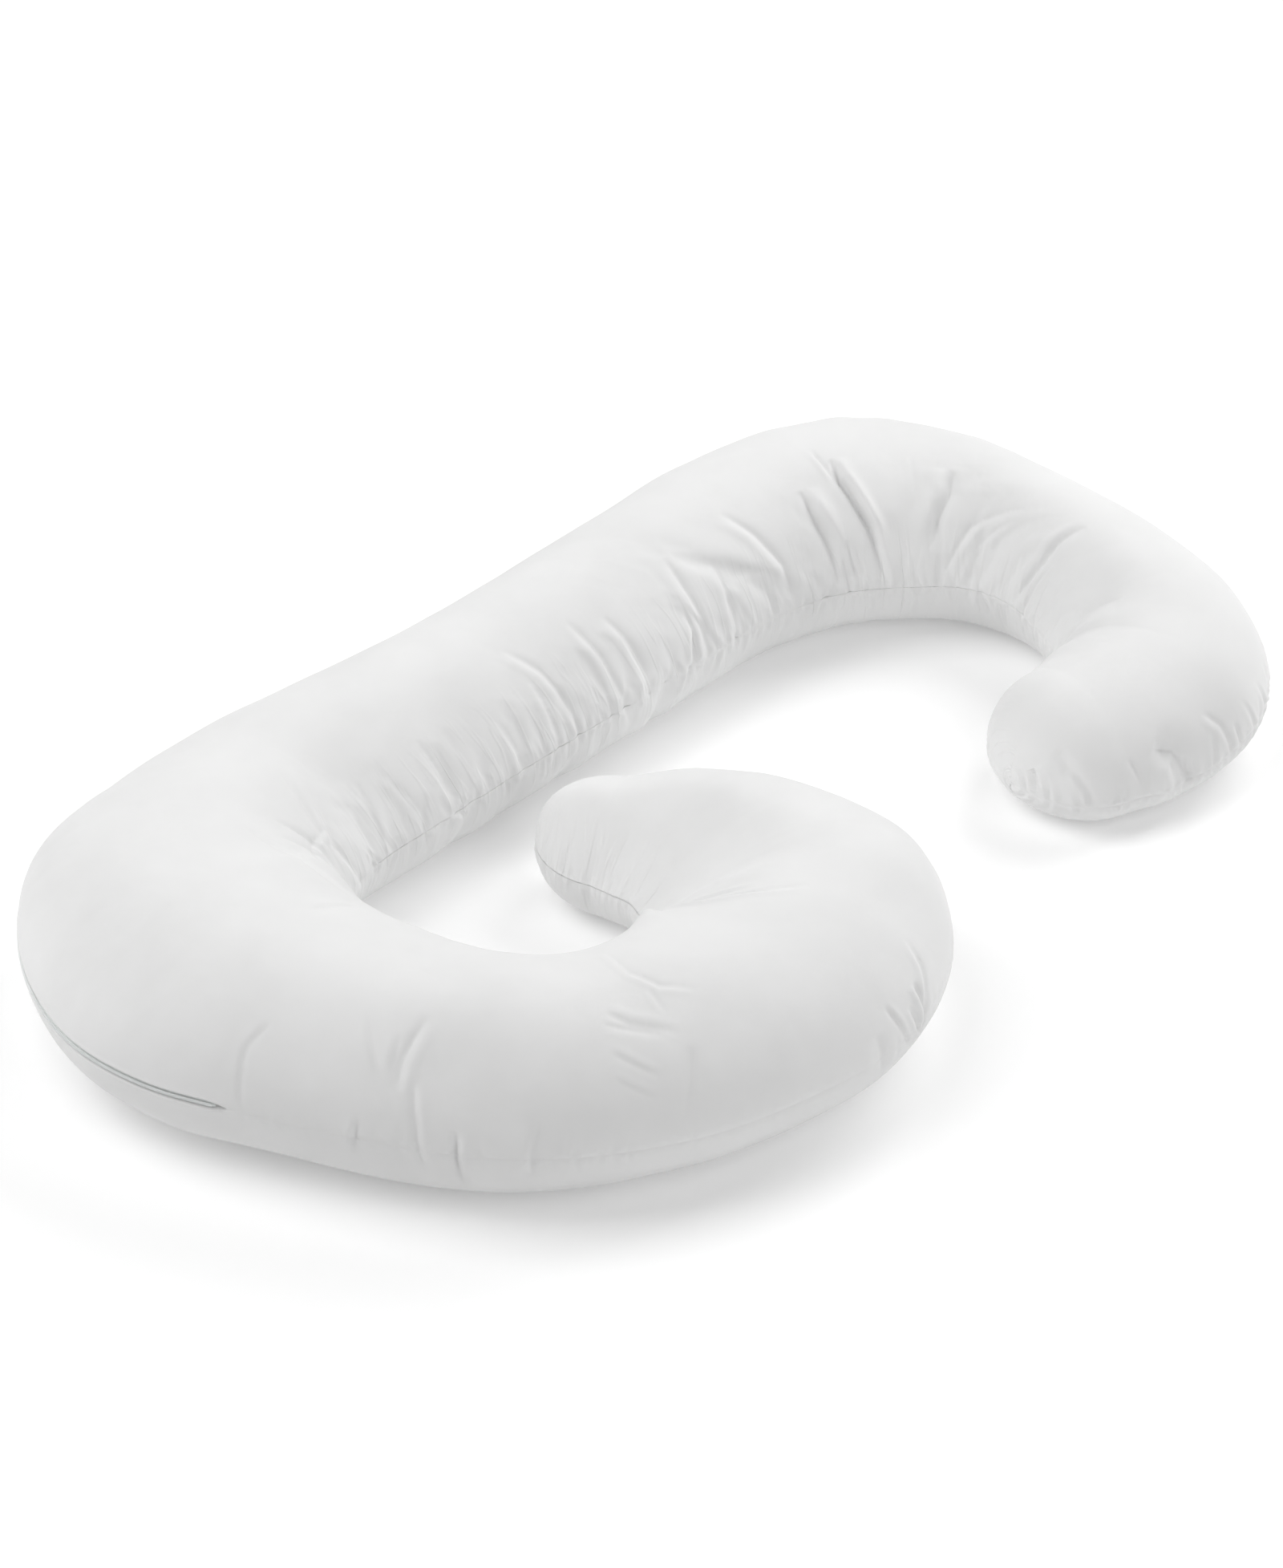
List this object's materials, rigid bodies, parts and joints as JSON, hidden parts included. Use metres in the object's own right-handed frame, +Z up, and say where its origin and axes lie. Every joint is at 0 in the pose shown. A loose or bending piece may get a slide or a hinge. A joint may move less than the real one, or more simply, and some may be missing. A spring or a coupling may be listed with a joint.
{
  "type": "body pillow",
  "caption": "C-shaped filled body pillow with one curled end, one hooked end, a seam at its widest line and a zip in the seam.",
  "frame": {"origin": "on the floor under the middle of the pillow's bounding box", "axes": "+X along the straight spine towards the big turn, +Y towards the open side of the C, +Z up"},
  "size_m": [1.3986, 0.8354, 0.214],
  "materials": {
    "cotton": "plain white woven cotton, matt",
    "zip_tape": "pale grey-green woven tape, matt",
    "zip_coil": "pale grey-green nylon coil, satin"
  },
  "bodies": {
    "root": {"pillow": "cotton", "zip_tape_upper": "zip_tape", "zip_tape_lower": "zip_tape", "zip_coil": "zip_coil"}
  },
  "joints": []
}
